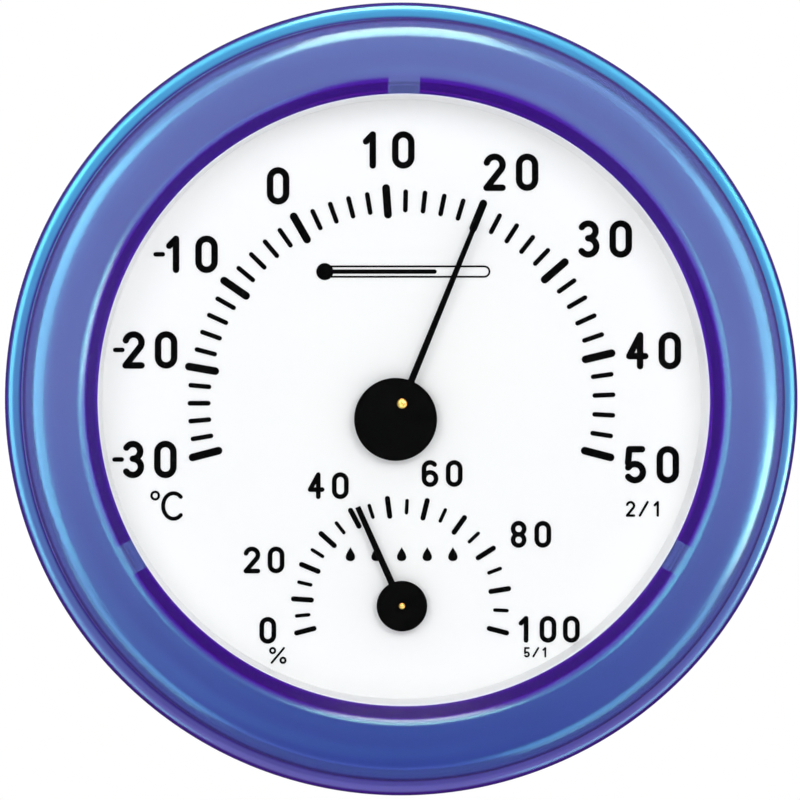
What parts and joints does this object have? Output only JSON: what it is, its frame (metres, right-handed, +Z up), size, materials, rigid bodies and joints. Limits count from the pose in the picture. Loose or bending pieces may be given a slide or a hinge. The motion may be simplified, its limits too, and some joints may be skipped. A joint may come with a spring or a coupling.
{
  "type": "thermo-hygrometer",
  "caption": "Round wall thermo-hygrometer: a bimetal thermometer and a humidity coil behind one white dial, in a tinted clear case with a keyhole hanger.",
  "frame": {"origin": "centre of the flat back face that lies against the wall", "axes": "+Y points back into the wall, -Y out of the dial, +Z up the dial, +X to the right seen from the front"},
  "size_m": [0.13, 0.03, 0.13],
  "materials": {
    "tinted_plastic": "moulded, clear tinted blue",
    "clear_lens": "moulded, clear",
    "white_plastic": "satin white",
    "dial_white": "matt white",
    "black_print": "screen printed black",
    "black_paint": "matt black paint",
    "brass": "turned brass",
    "zinc_steel": "zinc plated",
    "bimetal_strip": "rolled bimetal strip",
    "humidity_strip": "metal strip with a hygroscopic coating"
  },
  "bodies": {
    "case": {"bezel": "tinted_plastic", "lens": "clear_lens", "dial_surround": "white_plastic", "dial_plate": "dial_white", "temperature_scale": "black_print", "humidity_scale": "black_print", "dial_carrier": "white_plastic", "case_ring": "tinted_plastic", "back_cover": "tinted_plastic", "cover_screws": "zinc_steel", "hanger_plate": "zinc_steel", "hanger_rivets": "brass", "thermo_yoke": "zinc_steel", "thermo_yoke_screws": "zinc_steel", "thermo_front_bush": "brass", "thermo_rear_bush": "brass", "thermo_friction_washer": "zinc_steel", "hygro_yoke": "zinc_steel", "hygro_yoke_screws": "zinc_steel", "hygro_front_bush": "brass", "hygro_rear_bush": "brass", "hygro_friction_washer": "zinc_steel"},
    "temperature_regulator": {"thermo_regulator": "brass", "thermo_adjuster": "brass", "thermo_anchor_pin": "zinc_steel", "bimetal_coil": "bimetal_strip"},
    "temperature_pointer": {"thermo_pointer": "black_paint", "thermo_arbor": "brass", "thermo_collet": "brass"},
    "humidity_regulator": {"hygro_regulator": "brass", "hygro_adjuster": "brass", "hygro_anchor_pin": "zinc_steel", "humidity_coil": "humidity_strip"},
    "humidity_pointer": {"hygro_pointer": "black_paint", "hygro_arbor": "brass", "hygro_collet": "brass"}
  },
  "joints": [
    {"name": "temperature_setting", "type": "hinge", "parent": "case", "child": "temperature_regulator", "pos_m": [0, -0.005, -0.0007], "axis": [0, 1, 0], "range_deg": [-12, 12]},
    {"name": "temperature_reading", "type": "hinge", "parent": "temperature_regulator", "child": "temperature_pointer", "pos_m": [0, -0.01, -0.0007], "axis": [0, 1, 0], "range_deg": [-126.7, 82.26], "stiffness_Nm_per_rad": 0.002, "deforming": ["bimetal_coil"]},
    {"name": "humidity_setting", "type": "hinge", "parent": "case", "child": "humidity_regulator", "pos_m": [0, -0.005, -0.0339], "axis": [0, 1, 0], "range_deg": [-12, 12]},
    {"name": "humidity_reading", "type": "hinge", "parent": "humidity_regulator", "child": "humidity_pointer", "pos_m": [0, -0.01, -0.0339], "axis": [0, 1, 0], "range_deg": [-80.35, 128.49], "stiffness_Nm_per_rad": 0.002, "deforming": ["humidity_coil"]}
  ]
}
